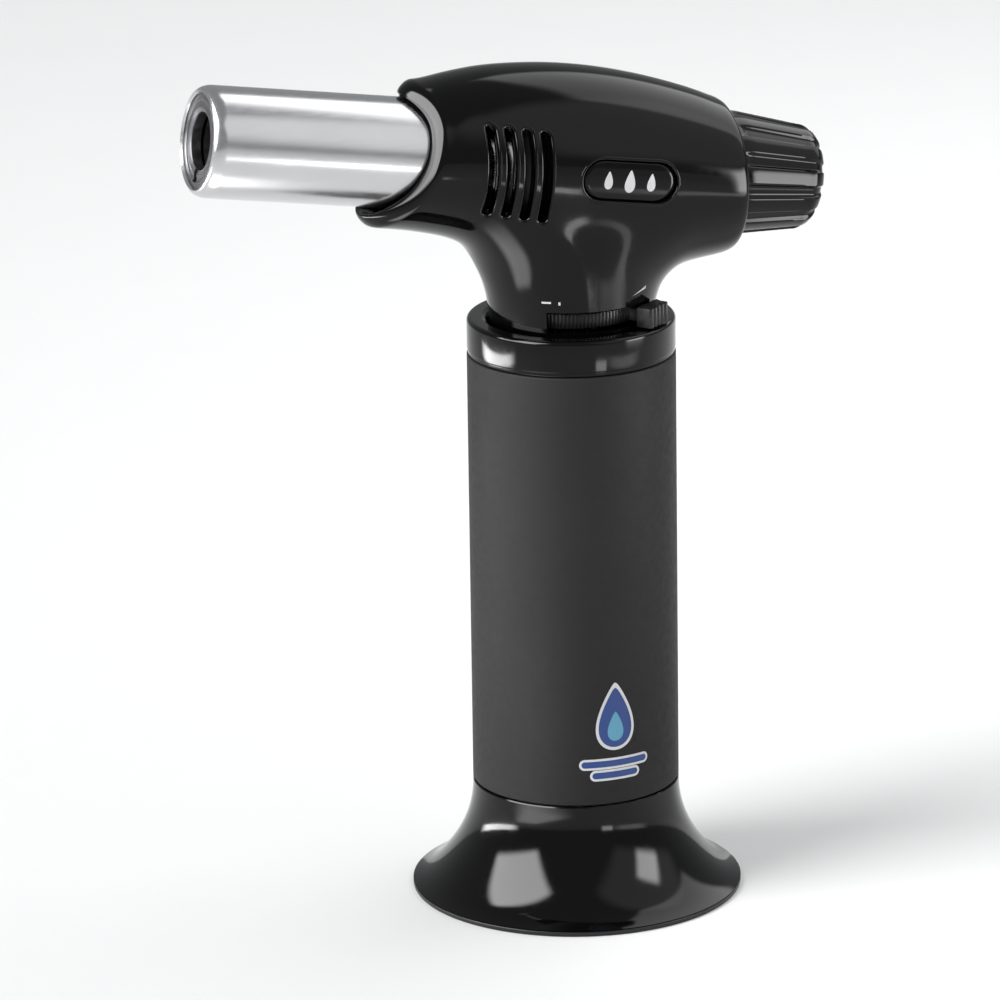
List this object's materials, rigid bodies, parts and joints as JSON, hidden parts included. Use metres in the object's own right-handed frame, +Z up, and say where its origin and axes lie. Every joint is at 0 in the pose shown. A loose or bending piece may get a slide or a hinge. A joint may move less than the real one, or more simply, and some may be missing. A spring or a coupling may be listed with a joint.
{
  "type": "butane torch",
  "caption": "Hand-held jewellers' butane torch on a flared foot, with a grip sleeve, a pitched head, a bright flame tube, a fluted ignition button and a flame lever.",
  "frame": {"origin": "centre of the bounding box, on the surface that the foot stands on", "axes": "+Z up along the body, -X towards the nozzle, +Y to the screwed side of the head"},
  "size_m": [0.1202, 0.0612, 0.1594],
  "materials": {
    "gloss_black": "polished black moulding",
    "soft_grey": "matt soft-touch charcoal",
    "satin_black": "satin black moulding",
    "chrome": "polished stainless tube",
    "dark_metal": "heat-darkened steel",
    "steel": "plain steel",
    "brass": "turned brass",
    "ceramic": "white ceramic",
    "rubber": "black rubber",
    "tank_plastic": "natural nylon",
    "wick": "felted fibre",
    "cable_red": "red wire insulation"
  },
  "bodies": {
    "body": {"base_stand": "gloss_black", "collar_ring": "gloss_black", "head_shell_near": "gloss_black", "head_shell_far": "gloss_black", "grip_sleeve": "soft_grey", "foot_ring": "satin_black", "tank_retainer": "satin_black", "badge_plate_near": "satin_black", "badge_plate_far": "satin_black", "piezo_body": "satin_black", "flame_tube": "chrome", "nozzle_ring": "dark_metal", "burner_tube": "dark_metal", "head_screw_1": "steel", "head_screw_2": "steel", "head_screw_3": "steel", "burner_mount": "steel", "tube_clamp": "steel", "electrode_wire": "steel", "piezo_spring": "steel", "outlet_valve_spring": "steel", "valve_nut": "steel", "rocker_pin": "steel", "refill_valve_spring": "steel", "burner_bush": "brass", "mixing_tube": "brass", "flame_holder": "brass", "jet_holder": "brass", "jet_orifice": "brass", "outlet_valve_body": "brass", "hose_ferrule_lower": "brass", "hose_ferrule_upper": "brass", "refill_valve_body": "brass", "electrode_insulator": "ceramic", "gas_hose": "rubber", "tank_seal": "rubber", "refill_valve_seal": "rubber", "fuel_tank": "tank_plastic", "tank_top_cap": "tank_plastic", "fuel_wick": "wick", "spark_lead": "cable_red"},
    "button": {"button_core": "satin_black", "piezo_plunger": "steel", "push_bar": "satin_black"},
    "knob": {"ignition_knob": "gloss_black"},
    "rocker": {"valve_rocker": "steel"},
    "valve_stem": {"outlet_valve_stem": "steel"},
    "lever": {"flame_lever": "satin_black", "adjuster_gear": "brass"},
    "refill_stem": {"refill_valve_stem": "brass"}
  },
  "joints": [
    {"name": "button_press", "type": "slide", "parent": "body", "child": "button", "axis": [-0.9874, 0, 0.1582], "range_m": [0, 0.005], "stiffness_N_per_m": 600, "springref_m": -0.003, "deforming": ["piezo_spring"]},
    {"name": "button_twist", "type": "hinge", "parent": "button", "child": "knob", "pos_m": [0.01201, 0, 0.1382], "axis": [-0.9874, 0, 0.1582], "range_deg": [0, 30]},
    {"name": "rocker_swing", "type": "hinge", "parent": "body", "child": "rocker", "pos_m": [0.00601, 0, 0.119], "axis": [0, 1, 0], "range_deg": [-24, 0]},
    {"name": "valve_lift", "type": "slide", "parent": "body", "child": "valve_stem", "axis": [0, 0, 1], "range_m": [0, 0.0021], "deforming": ["outlet_valve_spring"]},
    {"name": "flame_adjust", "type": "hinge", "parent": "body", "child": "lever", "pos_m": [0.01201, 0, 0.112], "axis": [0, 0, 1], "range_deg": [-67.5, 0]},
    {"name": "refill_press", "type": "slide", "parent": "body", "child": "refill_stem", "axis": [0, 0, 1], "range_m": [0, 0.0015], "stiffness_N_per_m": 500, "springref_m": -0.001, "deforming": ["refill_valve_spring"]}
  ],
  "couplings": [
    {"joint": "rocker_swing", "follows": "button_press", "rad_per_m": -80},
    {"joint": "valve_lift", "follows": "button_press", "ratio": 0.4}
  ]
}
